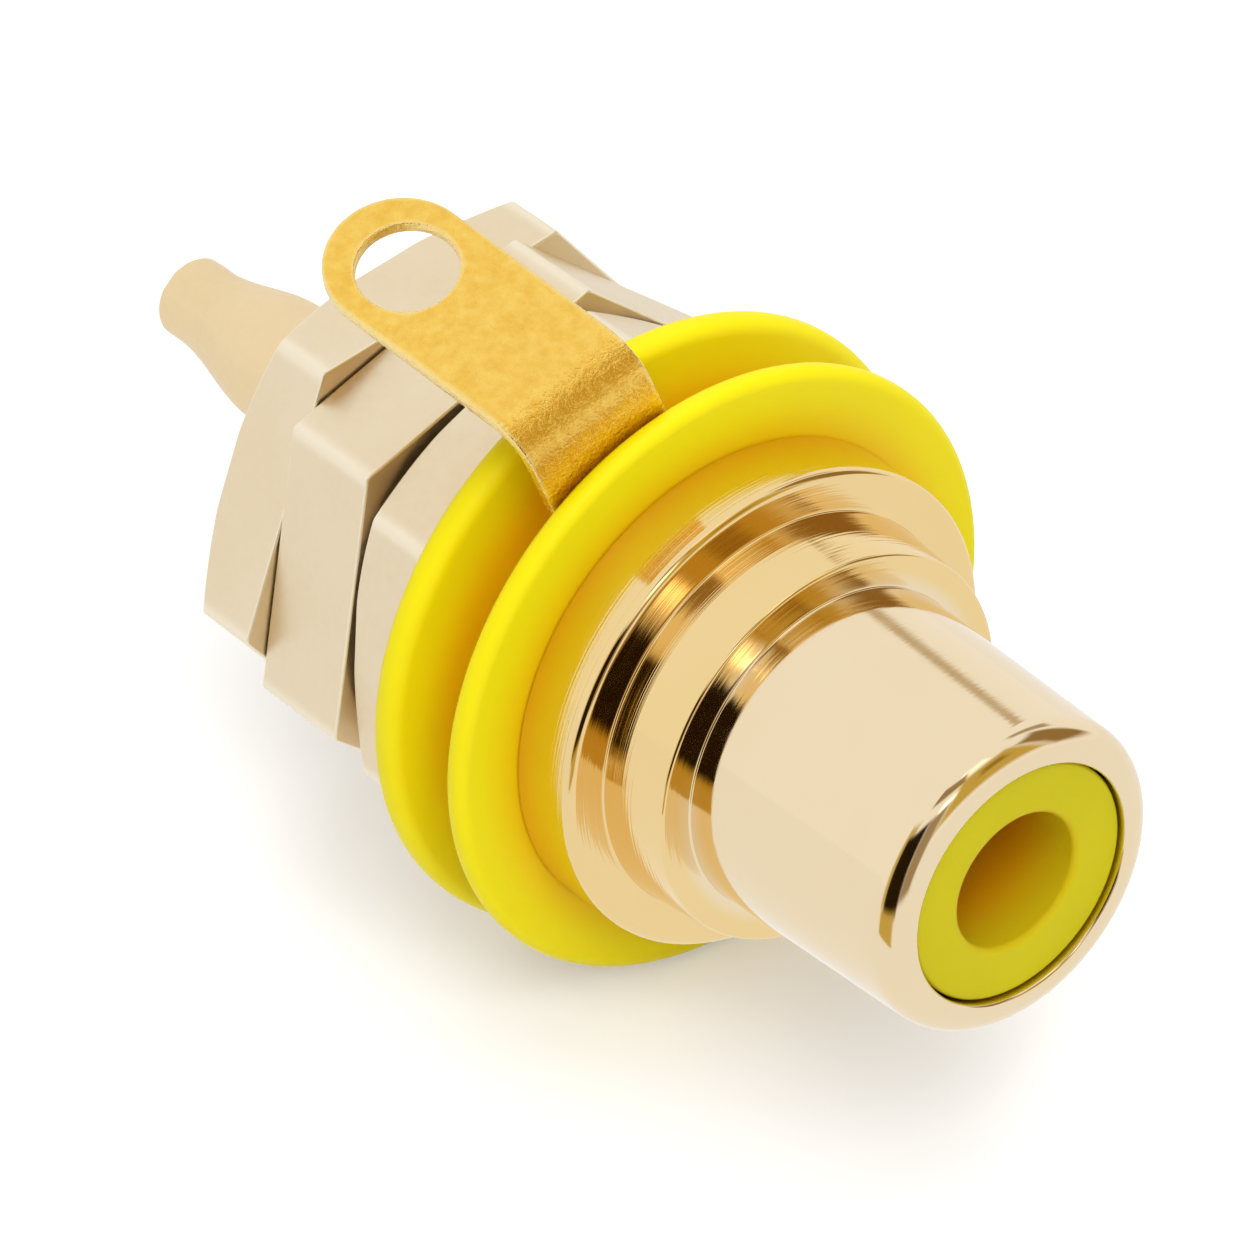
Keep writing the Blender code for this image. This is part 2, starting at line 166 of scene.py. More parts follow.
# %% [markdown]
# ## Corners that a lathe would leave
# No machined or moulded edge is perfectly sharp, and it is the tiny round that catches the
# light. An outline lists its corners as radius, station and corner round. The helper swaps
# every corner for a true arc, and adds a row close to each end of every long straight run, so
# that smooth shading stays on the round.

# %% Rounded outlines
ARC_STEPS = 7
SUPPORT = 0.05  # mm from a corner to its supporting row


def unit(v):
    """Rows scaled to length one, with nil rows left alone."""
    return v / np.maximum(np.linalg.norm(v, axis=-1, keepdims=True), 1e-12)


def rounded(outline):
    """Profile of a closed outline with an arc for each corner. With unit directions a and b
    to the neighbours and half the angle between them h, the centre is rho / sin h along
    a + b, and the arc turns evenly from one tangent point to the other."""
    outline = np.array(outline, float)
    here, rho = outline[:, :2], outline[:, 2:]
    a = unit(np.roll(here, 1, 0) - here)
    b = unit(np.roll(here, -1, 0) - here)
    h = np.arccos(np.clip((a * b).sum(1, keepdims=True), -1, 1)) / 2
    h = np.clip(h, 0.02, math.pi / 2 - 0.0002)  # so that no sine below is nil
    centre = here + unit(a + b) * rho / np.sin(h)
    start, end = here + a * rho / np.tan(h) - centre, here + b * rho / np.tan(h) - centre
    turn = (math.pi - 2 * h)[:, None]
    t = np.linspace(0, 1, ARC_STEPS + 1)[None, :, None]
    arc = (np.sin((1 - t) * turn) * start[:, None] + np.sin(t * turn) * end[:, None]) / np.sin(turn)
    return supported(tidy((centre[:, None] + arc).reshape(-1, 2)))


def tidy(profile):
    """The profile without points that repeat the one before."""
    step = np.linalg.norm(profile - np.roll(profile, 1, 0), axis=1)
    return profile[step > 1e-6]


def supported(profile):
    """A row SUPPORT from each end of every straight run that is longer than three SUPPORT."""
    run = np.roll(profile, -1, 0) - profile
    length = np.linalg.norm(run, axis=1, keepdims=True)
    step = unit(run) * SUPPORT
    rows = np.stack([profile, profile + step, profile + run - step], 1)
    keep = np.repeat(length > 3 * SUPPORT, 3, axis=1)
    keep[:, 0] = True
    return rows[keep]


def about_axis(r, s, a):
    """Radius r, station s and angle a become the point (r cos a, -s, r sin a)."""
    return np.stack([r * np.cos(a), -s, r * np.sin(a)], 2).reshape(-1, 3)


def lathe(profile, steps=TURN_STEPS, radius_change=None):
    """Closed profile (r, s) turned round the axis. radius_change(s, a, r) may add to the
    radius, as a thread does."""
    a = np.arange(steps) * FULL_TURN / steps
    r, s = np.repeat(profile[:, :1], steps, 1), np.repeat(profile[:, 1:], steps, 1)
    if radius_change is not None:
        r = r + radius_change(s, a[None], r)
    return about_axis(r, s, a), grid_faces(len(profile), steps, True)


def turned_piece(name, outline, material, node, steps=TURN_STEPS):
    """Turned piece of the body socket, from the rounded outline of its section."""
    put(name, mesh_of(name, *lathe(rounded(outline), steps)), material, "socket", node)


print("helpers ready; a right-angled corner becomes", ARC_STEPS, "steps")

# %% [markdown]
# ## Building node trees
# A finish takes dozens of nodes, values and links. One helper adds a node and fills its
# inputs, each with a plain value or with another node's output. The others stand for what is
# used most. Patterns read Object coordinates, the frame's own metres on every piece.

# %% Node helpers
WHITE = (1.0, 1.0, 1.0)
COLOUR, NUMBER = "NodeSocketColor", "NodeSocketFloat"


def fill(tree, socket, value):
    """Links another node's output to an input, or puts a plain value there. A colour is
    three linear numbers and gets full alpha."""
    if isinstance(value, bpy.types.NodeSocket):
        tree.links.new(value, socket)
    else:
        socket.default_value = (*value, 1.0) if isinstance(value, tuple) else value


def node(tree, kind, **settings):
    """A node with its settings. A setting named in_Title fills that input, with an underscore
    for each blank in the title."""
    made = tree.nodes.new(kind)
    for key, value in settings.items():
        if key.startswith("in_"):
            fill(tree, made.inputs[key[3:].replace("_", " ")], value)
        else:
            setattr(made, key, value)
    return made


def mixed(tree, share, one, other):
    """Colour that goes from one to other as share goes from 0 to 1."""
    made = node(tree, "ShaderNodeMix", data_type="RGBA", in_Factor=share)
    fill(tree, made.inputs[6], one)
    fill(tree, made.inputs[7], other)
    return made.outputs[2]


def maths(tree, operation, *numbers):
    """Result of one Math node."""
    made = node(tree, "ShaderNodeMath", operation=operation)
    for socket, number in zip(made.inputs, numbers):
        fill(tree, socket, number)
    return made.outputs[0]


def object_place(tree):
    """The surface point in Object coordinates."""
    return node(tree, "ShaderNodeTexCoord").outputs["Object"]


def from_axis(tree):
    """Distance of the surface point from the socket's axis, and its Y along that axis."""
    parts = node(tree, "ShaderNodeSeparateXYZ", in_Vector=object_place(tree)).outputs
    flat = node(tree, "ShaderNodeCombineXYZ", in_X=parts["X"], in_Z=parts["Z"])
    distance = node(tree, "ShaderNodeVectorMath", operation="LENGTH",
                    in_Vector=flat.outputs["Vector"])
    return distance.outputs["Value"], parts["Y"]


print("node helpers ready")

# %% [markdown]
# ## Effects as node groups
# Four small node groups hold the effects that the finishes are made of. Tone drift lets a
# colour wander a little over the surface. Lathe marks are fine rings: the noise is read at
# (distance from the axis, station), so it cannot change round the turn. Fine grain is a skin's
# height and roughness. Distance from the axis is a mask, for a finish that changes from step
# to step. Each group puts out colours and values, and the shader stays in the material.

# %% Node groups


def new_group(name, inputs, outputs):
    """A shader group with (title, kind, default) inputs and (title, kind) outputs."""
    group = bpy.data.node_groups.new(name, "ShaderNodeTree")
    for title, kind, default in inputs:
        fill(group, group.interface.new_socket(title, in_out="INPUT", socket_type=kind), default)
    for title, kind in outputs:
        group.interface.new_socket(title, in_out="OUTPUT", socket_type=kind)
    start, end = group.nodes.new("NodeGroupInput"), group.nodes.new("NodeGroupOutput")
    return group, start.outputs, end.inputs


def tone_group():
    """Colour = mix of two tones by soft noise in Object coordinates."""
    group, start, end = new_group(
        "Tone drift",
        [("Tone", COLOUR, WHITE), ("Other tone", COLOUR, WHITE), ("Scale", NUMBER, 300.0)],
        [("Colour", COLOUR)])
    noise = node(group, "ShaderNodeTexNoise", in_Vector=object_place(group),
                 in_Scale=start["Scale"], in_Detail=3.0, in_Roughness=0.55)
    spread = node(group, "ShaderNodeMapRange", in_Value=noise.outputs["Fac"],
                  in_From_Min=0.3, in_From_Max=0.7)
    colour = mixed(group, spread.outputs["Result"], start["Tone"], start["Other tone"])
    fill(group, end["Colour"], colour)
    return group


def lathe_mark_group():
    """Height = noise of (distance from the axis, station) times Scale: rings of all widths."""
    group, start, end = new_group(
        "Lathe marks", [("Scale", NUMBER, 9000.0)], [("Height", NUMBER)])
    distance, station = from_axis(group)
    ring = node(group, "ShaderNodeCombineXYZ", in_X=distance, in_Y=station)
    noise = node(group, "ShaderNodeTexNoise", noise_dimensions="2D",
                 in_Vector=ring.outputs["Vector"], in_Scale=start["Scale"], in_Detail=2.0)
    fill(group, end["Height"], noise.outputs["Fac"])
    return group


def grain_group():
    """Height and roughness from fine noise in Object coordinates; roughness lies between
    Smooth and Rough."""
    group, start, end = new_group(
        "Fine grain",
        [("Scale", NUMBER, 4000.0), ("Smooth", NUMBER, 0.2), ("Rough", NUMBER, 0.4)],
        [("Height", NUMBER), ("Roughness", NUMBER)])
    noise = node(group, "ShaderNodeTexNoise", in_Vector=object_place(group),
                 in_Scale=start["Scale"], in_Detail=4.0, in_Roughness=0.6)
    spread = node(group, "ShaderNodeMapRange", in_Value=noise.outputs["Fac"], in_From_Min=0.35,
                  in_From_Max=0.65, in_To_Min=start["Smooth"], in_To_Max=start["Rough"])
    fill(group, end["Height"], noise.outputs["Fac"])
    fill(group, end["Roughness"], spread.outputs["Result"])
    return group


def ring_blend_group():
    """Mask that rises from 0 at distance Inner from the axis to 1 at distance Outer."""
    group, start, end = new_group(
        "Distance from the axis", [("Inner", NUMBER, 0.006), ("Outer", NUMBER, 0.007)],
        [("Mask", NUMBER)])
    distance, _ = from_axis(group)
    rise = node(group, "ShaderNodeMapRange", interpolation_type="SMOOTHSTEP",
                in_Value=distance, in_From_Min=start["Inner"], in_From_Max=start["Outer"])
    fill(group, end["Mask"], rise.outputs["Result"])
    return group


TONE, MARKS, GRAIN, RINGS = tone_group(), lathe_mark_group(), grain_group(), ring_blend_group()
print("groups:", [group.name for group in (TONE, MARKS, GRAIN, RINGS)])

# %% [markdown]
# ## Finishes
# Gold plate is a metal, so its base colour is its reflection. Dyed plastic is no metal and
# barely shines. Each finish below is one Principled shader with its plain numbers on its own
# sockets. The shared groups feed it a drifting colour, a roughness, and a height that one
# Bump node turns into a normal. The helpers here place a group with a finish's own values.

# %% Material helpers


def start_material(name, metallic, specular=0.5):
    """Material with a Principled shader whose plain values sit on its own sockets, its tree,
    and the shader's inputs."""
    material = bpy.data.materials.new(name)
    material.use_nodes = True
    shader = material.node_tree.nodes["Principled BSDF"].inputs
    shader["Metallic"].default_value = metallic
    shader["Specular IOR Level"].default_value = specular
    return material, material.node_tree, shader


def use(tree, group, **values):
    """Outputs of a group that is placed in a material with its own values."""
    inputs = {"in_" + title: value for title, value in values.items()}
    return node(tree, "ShaderNodeGroup", node_tree=group, **inputs).outputs


def drift(tree, one, other, scale):
    """Colour that wanders between two tones."""
    return use(tree, TONE, Tone=one, Other_tone=other, Scale=scale)["Colour"]


def ring_mask(tree, inner, outer):
    """0 up to inner from the axis and 1 from outer on, both in millimetres."""
    return use(tree, RINGS, Inner=inner * MM, Outer=outer * MM)["Mask"]


def edge_highlight_mask(tree):
    """The mesh's own attribute that marks where a painted edge highlight goes."""
    return node(tree, "ShaderNodeAttribute", attribute_name="edge_highlight").outputs["Fac"]


def bump(tree, shader, height, strength, depth):
    """Feeds a height, depth millimetres deep, through one Bump node to the shader's normal."""
    made = node(tree, "ShaderNodeBump", in_Strength=strength, in_Distance=depth * MM,
                in_Height=height)
    fill(tree, shader["Normal"], made.outputs["Normal"])


def skin(tree, shader, scale, smooth, rough, strength, depth):
    """Fine grain as the shader's roughness and as its bump."""
    grain = use(tree, GRAIN, Scale=scale, Smooth=smooth, Rough=rough)
    fill(tree, shader["Roughness"], grain["Roughness"])
    bump(tree, shader, grain["Height"], strength, depth)


print("material helpers ready")

# %% [markdown]
# ## Bright gold plate
# The shell is turned, polished and plated, so it mirrors the studio. The barrel is a pale gold
# and the steps behind it a deeper, more orange one: painted sheen on the barrel and painted
# shade for the double reflections in the steps' corners. The lathe's rings show on the steps,
# and the flange's rim is a little hazy. Three materials would meet in seams. One material with
# masks by distance from the axis has none.

# %% Bright gold
RIM_HAZE = 0.03  # roughness added on the flange's rim
BARREL_MARKS = 0.15  # share of the lathe marks that polishing left on the barrel

BRIGHT_GOLD, tree, shader = start_material("bright_gold_plate", 1.0)
# pale barrel and deeper steps: painted sheen on the barrel, painted shade in the steps
pale = drift(tree, (0.87, 0.72, 0.49), (0.86, 0.70, 0.46), 300.0)
deep = drift(tree, (0.88, 0.66, 0.32), (0.86, 0.64, 0.30), 350.0)
steps = ring_mask(tree, 4.2, 4.6)
fill(tree, shader["Base Color"], mixed(tree, steps, pale, deep))
grain = use(tree, GRAIN, Scale=2500.0, Smooth=0.05, Rough=0.10)
haze = maths(tree, "MULTIPLY_ADD", ring_mask(tree, 6.06, 6.14), RIM_HAZE, grain["Roughness"])
fill(tree, shader["Roughness"], haze)
marks = use(tree, MARKS, Scale=12000.0)["Height"]
share = node(tree, "ShaderNodeMapRange", in_Value=steps, in_To_Min=BARREL_MARKS)
bump(tree, shader, maths(tree, "MULTIPLY", share.outputs["Result"], marks), 0.8, 0.006)
print("made", BRIGHT_GOLD.name)

# %% [markdown]
# ## Satin gold plate
# The nuts and the contact are plated in a barrel and left as they come out: the same pale
# gold, but satin. The nuts' edges get a paler gold: a painted highlight on the rounds and
# corners. The mask could be painted by hand. Here each nut's mesh carries it as an attribute,
# worked out together with its points, so it follows every edge.

# %% Satin gold
SATIN_GOLD, tree, shader = start_material("satin_gold_plate", 1.0)
nut_tone = drift(tree, (0.86, 0.735, 0.53), (0.83, 0.69, 0.475), 260.0)
rod_tone = drift(tree, (0.88, 0.70, 0.43), (0.85, 0.665, 0.39), 260.0)
plate = mixed(tree, ring_mask(tree, 2.5, 3.9), rod_tone, nut_tone)
# paler gold for the edges: a painted highlight
edge_highlight_gold = (0.93, 0.83, 0.65)
fill(tree, shader["Base Color"], mixed(tree, edge_highlight_mask(tree), plate, edge_highlight_gold))
skin(tree, shader, 5000.0, 0.34, 0.46, 0.2, 0.004)
print("made", SATIN_GOLD.name)

# %% [markdown]
# ## Grained sheet gold
# The tag is stamped from rolled sheet, so it is more deeply coloured and grained, and its
# sheared edges get a painted highlight in a paler gold. A picture of such a sheet would need an
# unfolded map of the tag. Noise in Object coordinates needs none, and it runs on through the fold.

# %% Sheet gold
EDGE_HIGHLIGHT = 0.75  # how far the painted highlight on the sheared edges goes toward the paler tone

SHEET_GOLD, tree, shader = start_material("sheet_gold_plate", 1.0)
colour = drift(tree, (0.96, 0.65, 0.14), (0.88, 0.53, 0.08), 3200.0)
# the sheet's border turns paler gold: a painted highlight on the edges
edge_highlight = maths(tree, "MULTIPLY", edge_highlight_mask(tree), EDGE_HIGHLIGHT)
fill(tree, shader["Base Color"], mixed(tree, edge_highlight, colour, (0.98, 0.80, 0.36)))
skin(tree, shader, 6500.0, 0.12, 0.32, 0.8, 0.05)
print("made", SHEET_GOLD.name)

# %% [markdown]
# ## Yellow washer nylon
# The washers are moulded in dyed nylon: dull, with a soft skin. Close to the flange they turn
# amber: painted shade, and painted gold light thrown back by the flange. A tone that follows
# the distance from the axis paints it.

# %% Washer nylon
WASHER_NYLON, tree, shader = start_material("washer_nylon", 0.0, 0.14)
yellow = drift(tree, (0.87, 0.745, 0.003), (0.85, 0.715, 0.002), 220.0)
# amber near the flange: painted shade and painted gold light from the flange
flange_shade_amber = (0.90, 0.55, 0.002)
fill(tree, shader["Base Color"], mixed(tree, ring_mask(tree, 5.8, 7.3), flange_shade_amber, yellow))
skin(tree, shader, 3000.0, 0.38, 0.5, 0.15, 0.01)
print("made", WASHER_NYLON.name)

# %% [markdown]
# ## Mouth plastic
# The ring in the mouth is a greener yellow. Its bore turns amber and darker with depth: painted
# shade of the deep hollow. One mask by distance from the axis parts the bore from the face,
# and a second one by depth paints that shade down the bore. That could be a second material in
# the bore, but then it would start at a hard line.

# %% Mouth plastic
BORE_SHADE_START, BORE_SHADE_END = FACE - 0.3, FACE - 2.2

MOUTH_PLASTIC, tree, shader = start_material("mouth_plastic", 0.0, 0.11)
face = drift(tree, (0.61, 0.53, 0.003), (0.58, 0.50, 0.003), 300.0)
parts = node(tree, "ShaderNodeSeparateXYZ", in_Vector=object_place(tree)).outputs
depth = node(tree, "ShaderNodeMapRange", interpolation_type="SMOOTHSTEP", in_Value=parts["Y"],
             in_From_Min=-BORE_SHADE_START * MM, in_From_Max=-BORE_SHADE_END * MM)
# amber that deepens down the bore: painted shade of the hollow
bore = mixed(tree, depth.outputs["Result"], (0.62, 0.47, 0.006), (0.74, 0.33, 0.003))
fill(tree, shader["Base Color"], mixed(tree, ring_mask(tree, 1.70, 1.95), bore, face))
skin(tree, shader, 3500.0, 0.34, 0.46, 0.15, 0.01)
print("made", MOUTH_PLASTIC.name)

# %% [markdown]
# ## The shell and its thread
# The shell is one turned piece: barrel with a rolled lip, collar, flange and a threaded shank.
# A thread is nearly a turned shape. The radius only has to fall and rise once per pitch, with
# the phase shifted by the turn angle, and to fade out at both ends. So the shell stays one
# lathe grid with many rows on the shank, and no screw has to be joined to it.

# %% Barrel shell
BARREL_LIP_R, BARREL_ROOT_R = 3.95, 4.15
LIP_ROUND = 0.68  # the lip is rolled over, not cut
COLLAR_FRONT_R, COLLAR_ROOT_R = 4.97, 5.14
FLANGE_R = 6.16
MOUTH_R, WAIST_R, BACK_R = 3.07, 2.5, 3.0  # the bore: at the insulator, between, at the bush
SHANK_CHAMFER = 0.4
PITCH = 0.75
THREAD_DEPTH = 0.34
THREAD_ROWS = 13  # rows for each turn of the thread
THREAD_SLOPE, THREAD_FLAT = 1.35, 0.15  # steepness of its sides, and how flat its crest is
THREAD_START, START_FADE = FLANGE_REAR - 0.5, 0.6
THREAD_STOP, STOP_FADE = SHANK_END + 0.35, 0.4


def thread_cut(s, a, r):
    """Depth of the thread at station s and angle a: a flat-topped wave of one pitch that
    fades near the flange and the chamfer. Only points on the shank's outside are moved."""
    phase = np.mod(s / PITCH + a / FULL_TURN, 1.0)
    wave = np.clip(np.abs(2 * phase - 1) * THREAD_SLOPE - THREAD_FLAT, 0, 1)
    fade = np.clip((THREAD_START - s) / START_FADE, 0, 1)
    fade = fade * np.clip((s - THREAD_STOP) / STOP_FADE, 0, 1)
    return np.where(np.abs(r - SHANK_R) < 1e-4, -THREAD_DEPTH * wave * fade, 0.0)


def shell_profile():
    """Outline of the shell, with the shank's run divided into rows for the thread."""
    profile = rounded([
        (BARREL_LIP_R, LIP, LIP_ROUND), (BARREL_ROOT_R, COLLAR_FRONT, 0.06),
        (COLLAR_FRONT_R, COLLAR_FRONT, 0.10), (COLLAR_ROOT_R, FLANGE_FRONT, 0.06),
        (FLANGE_R, FLANGE_FRONT, 0.20), (FLANGE_R, FLANGE_REAR, 0.05),
        (SHANK_R, FLANGE_REAR, 0.0), (SHANK_R, SHANK_END + SHANK_CHAMFER, 0.0),
        (SHANK_R - SHANK_CHAMFER, SHANK_END, 0.05), (BACK_R, SHANK_END, 0.04),
        (BACK_R, BUSH_FRONT + SEAT_GAP, 0.0), (WAIST_R, BUSH_FRONT + SEAT_GAP, 0.0),
        (WAIST_R, INSULATOR_REAR - SEAT_GAP, 0.0), (MOUTH_R, INSULATOR_REAR - SEAT_GAP, 0.0),
        (MOUTH_R, LIP, 0.10)])
    on_shank = np.flatnonzero(np.abs(profile[:, 0] - SHANK_R) < 1e-5)
    count = round((profile[on_shank[0], 1] - profile[on_shank[-1], 1]) / PITCH * THREAD_ROWS)
    rows = np.linspace(profile[on_shank[0]], profile[on_shank[-1]], count)
    return np.concatenate([profile[:on_shank[0]], rows, profile[on_shank[-1] + 1:]])


shell_mesh = mesh_of("gold_shell", *lathe(shell_profile(), radius_change=thread_cut))
put("gold_shell", shell_mesh, BRIGHT_GOLD, "socket", "barrel_shell", 50.0)

# %% [markdown]
# ## Mouth ring and rear bush
# Two plastic rings carry the centre contact. The front one fills the mouth and guides the
# plug's pin, and only its face and bore show. They are moulded, so their edges are softer than
# the metal's. A groove runs round the bush where its mould closes.

# %% Plastic rings
RING_R, RING_BORE_R = 3.03, 2.29
PIN_BORE_R = 1.72
CHEEK_REAR = CONTACT_FRONT + 0.25  # the ring's front wall ends just ahead of the contact
mouth_outline = [
    (RING_R, FACE, 0.09), (RING_R, INSULATOR_REAR, 0.05), (RING_BORE_R, INSULATOR_REAR, 0.05),
    (RING_BORE_R, CHEEK_REAR, 0.0), (PIN_BORE_R, CHEEK_REAR, 0.05), (PIN_BORE_R, FACE, 0.16)]
turned_piece("mouth_ring", mouth_outline, MOUTH_PLASTIC, "mouth_insulator")

BUSH_R, BUSH_BORE_R = 2.96, 1.66
GROOVE_OUTER_R, GROOVE_INNER_R = 2.3, 1.84
GROOVE_LEAN = 0.06  # how far its sides lean in, down to the floor
GROOVE_FLOOR = BUSH_REAR + 0.08
BUSH_STEPS = 128
bush_outline = [
    (BUSH_R, BUSH_FRONT, 0.05), (BUSH_R, BUSH_REAR, 0.14), (GROOVE_OUTER_R, BUSH_REAR, 0.04),
    (GROOVE_OUTER_R - GROOVE_LEAN, GROOVE_FLOOR, 0.03),
    (GROOVE_INNER_R + GROOVE_LEAN, GROOVE_FLOOR, 0.03), (GROOVE_INNER_R, BUSH_REAR, 0.04),
    (BUSH_BORE_R, BUSH_REAR, 0.03), (BUSH_BORE_R, BUSH_FRONT, 0.03)]
turned_piece("bush_ring", bush_outline, MOUTH_PLASTIC, "rear_bush", BUSH_STEPS)

# %% [markdown]
# ## Centre contact
# The contact is one turned rod. Its front is bored and slit into four spring fingers that grip
# the plug's pin, and its rear is the solder tail. The slit walls are parallel, so the angle
# that a finger spans depends on the radius. The grid's columns follow that angle, and the
# faces across each slit are left out and replaced by its two walls and its floor.

# %% Contact profile
FINGERS = 4
FINGER_COLUMNS = 24
FINGER_R, CONTACT_BORE_R = 2.25, 1.62
SLIT_HALF = 0.225
SLIT_FLOOR = CONTACT_FRONT - 6.0
PIN_FLOOR = CONTACT_FRONT - 11.4  # the bore takes the whole pin of a plug
COLLAR_REAR, COLLAR_CHAMFER = PIN_FLOOR - 1.0, 0.05
STEM_R, TAIL_R, TAIL_ROUND = 1.62, 1.07, 0.16
NECK_START, NECK_LENGTH = SHANK_END - 3.4, 3.35
TAIL_ROWS = 40


def tail_run():
    """The neck: half a cosine wave from the stem's radius down to the tail's."""
    t = np.linspace(0, 1, TAIL_ROWS)
    radius = STEM_R + (TAIL_R - STEM_R) * (1 - np.cos(math.pi * t)) / 2
    return np.stack([radius, NECK_START - NECK_LENGTH * t], 1)


def contact_profile():
    """Open profile from the bore's floor over the fingers' tips to the tail's end, and the
    row numbers where the slits end on the bore and on the outside."""
    tip = rounded([(CONTACT_BORE_R, PIN_FLOOR, 0.0), (CONTACT_BORE_R, CONTACT_FRONT, 0.12),
                   (FINGER_R, CONTACT_FRONT, 0.12), (FINGER_R, PIN_FLOOR, 0.0)])
    front = tip[tip[:, 1] > SLIT_FLOOR]
    inner = np.array([(CONTACT_BORE_R, PIN_FLOOR), (CONTACT_BORE_R, SLIT_FLOOR)])
    outer = np.array([(FINGER_R, SLIT_FLOOR), (FINGER_R, COLLAR_REAR + COLLAR_CHAMFER),
                      (FINGER_R - COLLAR_CHAMFER, COLLAR_REAR)])
    stem = np.array([(STEM_R, COLLAR_REAR), (STEM_R, NECK_START + 2 * SUPPORT)])
    tail = rounded([(0.0, TAIL_END, 0.0), (0.0, NECK_START, 0.0),
                    (TAIL_R, NECK_START, 0.0), (TAIL_R, TAIL_END, TAIL_ROUND)])
    corner = np.abs(tail - (TAIL_R, TAIL_END)).max(1) < 2 * TAIL_ROUND
    profile = np.concatenate([inner, front, outer, stem, tail_run(), tail[corner]])
    return profile, 1, 2 + len(front)


print("contact profile:", len(contact_profile()[0]), "rows")

# %% Slotted contact


def slit_angles(radius):
    """Column angles at a radius: four fingers, each from slit wall to slit wall, where a
    wall at half width w stands at arcsin(w / r) from the slit's middle."""
    share = np.linspace(-1, 1, FINGER_COLUMNS)
    half_span = math.pi / FINGERS - np.arcsin(SLIT_HALF / radius)
    middle = (np.arange(FINGERS) + 0.5) * FULL_TURN / FINGERS
    return (middle[None, :, None] + share * half_span[:, :, None]).reshape(len(radius), -1)


def contact_surface():
    """Points and faces of the contact, closed by a pole in the bore and one on the tail."""
    profile, slit_in, slit_out = contact_profile()
    rows, columns = len(profile), FINGERS * FINGER_COLUMNS
    a = slit_angles(profile[:, :1]) + math.pi / 4
    r, s = profile[:, :1], np.repeat(profile[:, 1:], columns, 1)
    poles = np.array([(0.0, -profile[0, 1], 0.0), (0.0, -profile[-1, 1], 0.0)])
    quads = grid_faces(rows, columns, False)
    row, column = quads[:, 0] // columns, quads[:, 0] % columns
    in_slit = (row >= slit_in) & (row < slit_out) & (column % FINGER_COLUMNS == FINGER_COLUMNS - 1)
    last = np.arange(FINGERS) * FINGER_COLUMNS + FINGER_COLUMNS - 1
    following = (last + 1) % columns
    ring = np.arange(slit_in, slit_out + 1) * columns
    walls = np.concatenate([ring + last[:, None], (ring + following[:, None])[:, ::-1]])
    floor = np.stack([ring[0] + following, ring[0] + last,
                      ring[-1] + last, ring[-1] + following], 1)
    j, end = np.arange(columns), (rows - 1) * columns
    k, pole = (j + 1) % columns, np.full(columns, rows * columns)
    caps = np.concatenate([np.stack([pole, k, j], 1), np.stack([pole + 1, end + j, end + k], 1)])
    points = np.concatenate([about_axis(r, s, a), poles])
    return points, quads[~in_slit], walls, floor, caps


contact_mesh = mesh_of("contact_rod", *contact_surface())
put("contact_rod", contact_mesh, SATIN_GOLD, "socket", "centre_contact")

# %% [markdown]
# ## Washers
# Both washers are moulded discs with well rounded rims. The rear one has a shoulder that
# centres it in the panel's hole. A cylinder with a bevel would come close, but a turned
# outline gives each edge its own round.

# %% Washers
FRONT_RIM_ROUND, REAR_RIM_ROUND = 0.29, 0.36
REAR_DISC = 0.82  # thickness of the rear washer beside its shoulder
SHOULDER_R = 5.0  # fits a 10 mm hole
front_r = node_radius("front_washer")
front_outline = [
    (front_r, WASHER_FRONT, FRONT_RIM_ROUND), (front_r, WASHER_REAR, FRONT_RIM_ROUND),
    (BORE_R, WASHER_REAR, 0.04), (BORE_R, WASHER_FRONT, 0.04)]
turned_piece("washer_front", front_outline, WASHER_NYLON, "front_washer")

rear_r = node_radius("rear_washer")
shoulder_front, rear_back = station_span("rear_washer")
rear_front = rear_back + REAR_DISC
rear_outline = [
    (SHOULDER_R, shoulder_front, 0.1), (SHOULDER_R, rear_front, 0.06),
    (rear_r, rear_front, REAR_RIM_ROUND), (rear_r, rear_back, REAR_RIM_ROUND),
    (BORE_R, rear_back, 0.04), (BORE_R, shoulder_front, 0.04)]
turned_piece("washer_rear", rear_outline, WASHER_NYLON, "rear_washer")

# %% [markdown]
# ## The solder tag
# The tag is stamped flat and then folded. So we make it flat and fold the numbers: three
# patches of points (the ring round the shank, the strip, and the round end with its hole)
# share their border points. A fold only changes how far along and how deep a point lies. The
# sheet then gets its thickness from Solidify and its sheared edges from Bevel, because both
# follow the bent sheet on their own.

# %% Flat tag
TAG_SHEET = 0.35
TAG_RING_R = 6.0
TAG_HALF = 1.78  # half the strip's width
TAG_AZIMUTH = math.radians(112.6)
FOLD_CORNER = 9.6  # where strip and blade would meet without the fold's round
FOLD_ROUND = 1.3  # outside radius of the fold
FOLD_ANGLE = math.radians(75.0)
FOLD_SKEW = math.radians(5.0)
HOLE_REACH, HOLE_R = 5.45, 1.21  # from that corner to the hole's middle, and its radius
FOLD_MIDDLE = FOLD_ROUND - TAG_SHEET / 2
FOLD_CUT = FOLD_ROUND * math.tan(FOLD_ANGLE / 2)
FOLD_START = FOLD_CORNER * math.cos(FOLD_SKEW) - FOLD_CUT
HOLE_X = FOLD_CORNER + HOLE_REACH + FOLD_MIDDLE * FOLD_ANGLE - 2 * FOLD_CUT
END_X = HOLE_X + 0.25  # middle of the round end
EYE_START = HOLE_X - 1.75  # the strip ends here and the rays round the hole begin
ACROSS = 25  # columns across the strip
RING_COLUMNS, RING_ROWS = 120, 8
